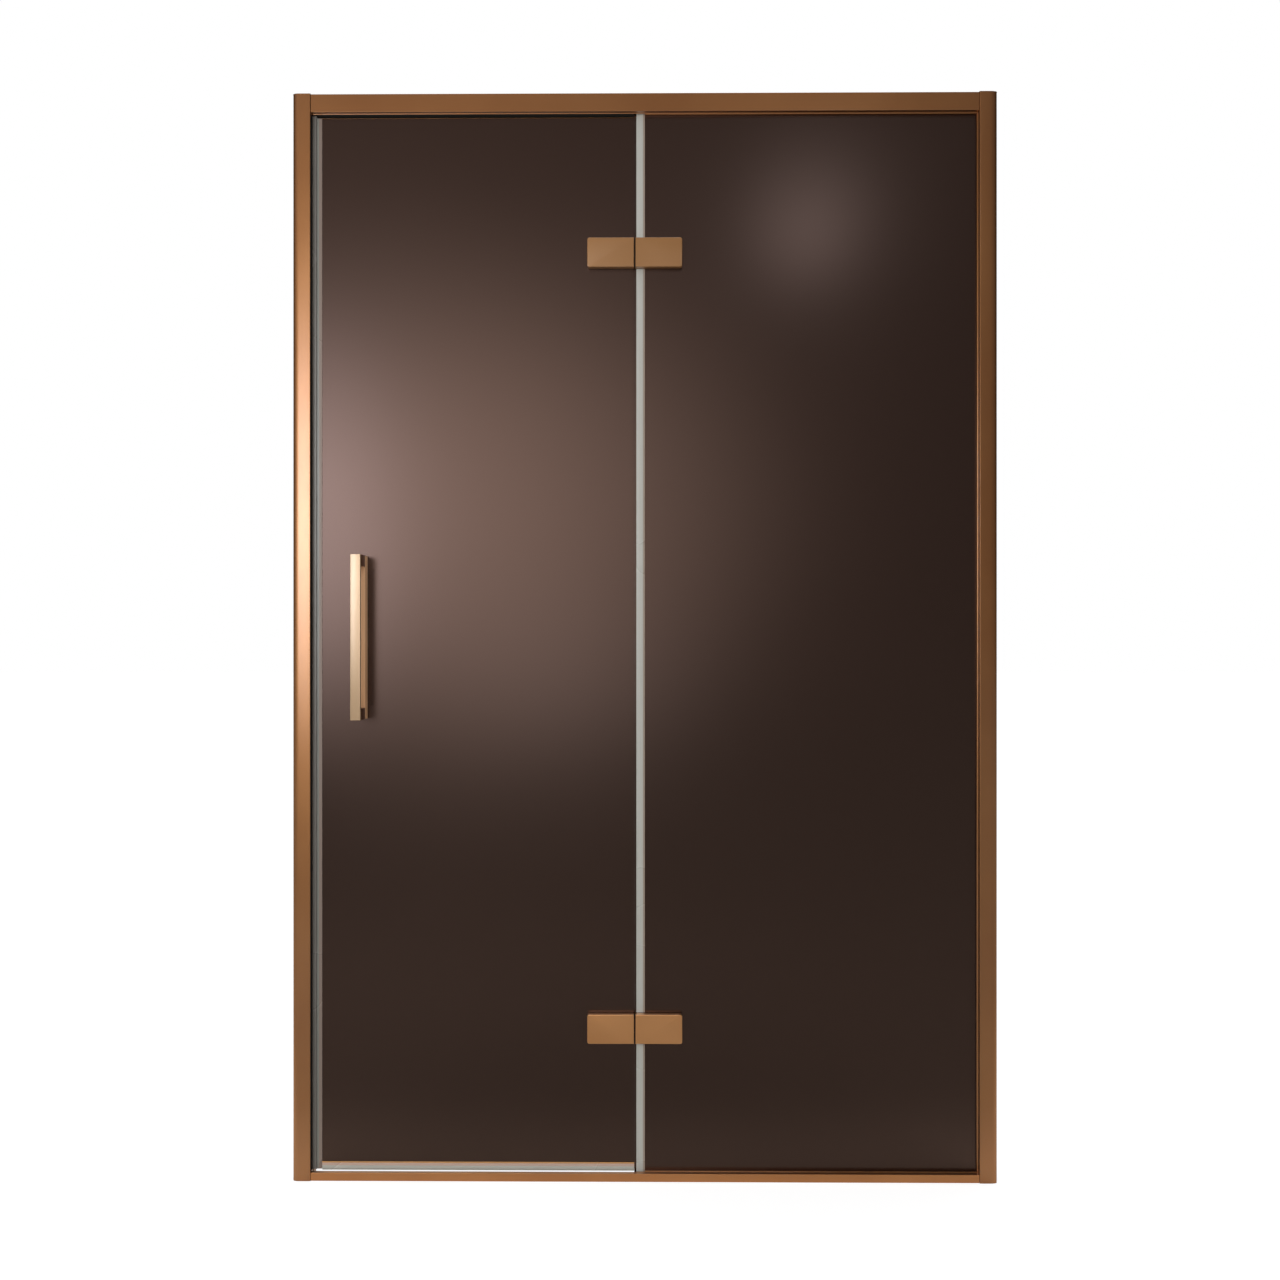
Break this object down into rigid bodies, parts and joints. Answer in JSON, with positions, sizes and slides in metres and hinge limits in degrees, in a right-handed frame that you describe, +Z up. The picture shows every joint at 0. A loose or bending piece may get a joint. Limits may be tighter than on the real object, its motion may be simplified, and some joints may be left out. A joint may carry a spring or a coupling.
{
  "type": "hinged shower door with fixed pane",
  "caption": "Framed shower door for a recess: a hinged glass leaf on glass-to-glass hinges beside a fixed pane, between two wall jambs, a head rail and a low threshold.",
  "frame": {"origin": "on the back face of the left wall channel, where it meets the wall, at tray level and at mid glass", "axes": "+X along the door from the left wall to the right wall, +Y into the shower, +Z up; the pictured side faces -Y"},
  "size_m": [1.296, 0.112, 2],
  "materials": {
    "copper_aluminium": "satin anodised copper",
    "copper_brass": "satin plated copper",
    "raw_aluminium": "mill",
    "bronze_glass": "dark bronze tinted, polished",
    "clear_seal": "translucent",
    "grey_seal": "satin grey",
    "black_rubber": "matt",
    "steel": "satin"
  },
  "bodies": {
    "frame": {"left_wall_channel": "raw_aluminium", "left_jamb": "copper_aluminium", "left_jamb_cap": "copper_aluminium", "right_wall_channel": "raw_aluminium", "right_jamb": "copper_aluminium", "right_jamb_cap": "copper_aluminium", "top_rail": "copper_aluminium", "bottom_rail": "copper_aluminium", "pane_channel": "copper_aluminium", "infill_strip": "copper_aluminium", "strike_seal": "grey_seal", "fixed_glass": "bronze_glass", "setting_blocks": "black_rubber", "top_gaskets": "black_rubber", "bottom_gaskets": "black_rubber", "jamb_gaskets": "black_rubber", "centre_seal_lower": "clear_seal", "centre_seal_middle": "clear_seal", "centre_seal_upper": "clear_seal", "upper_hinge_fixed_front": "copper_brass", "upper_hinge_fixed_back": "copper_brass", "upper_hinge_fixed_liners": "black_rubber", "upper_hinge_pin": "steel", "lower_hinge_fixed_front": "copper_brass", "lower_hinge_fixed_back": "copper_brass", "lower_hinge_fixed_liners": "black_rubber", "lower_hinge_pin": "steel"},
    "door": {"door_glass": "bronze_glass", "door_strike_seal": "clear_seal", "door_bottom_seal": "clear_seal", "upper_hinge_door_front": "copper_brass", "upper_hinge_door_back": "copper_brass", "upper_hinge_door_liners": "black_rubber", "lower_hinge_door_front": "copper_brass", "lower_hinge_door_back": "copper_brass", "lower_hinge_door_liners": "black_rubber", "outer_handle_base": "copper_aluminium", "outer_handle_feet": "copper_aluminium", "outer_handle_grip": "copper_aluminium", "inner_handle_base": "copper_aluminium", "inner_handle_feet": "copper_aluminium", "inner_handle_grip": "copper_aluminium", "handle_bolts": "steel"}
  },
  "joints": [
    {"name": "door_hinge", "type": "hinge", "parent": "frame", "child": "door", "pos_m": [0.6305, 0.0185, 0], "axis": [0, 0, -1], "range_deg": [0, 90]}
  ]
}
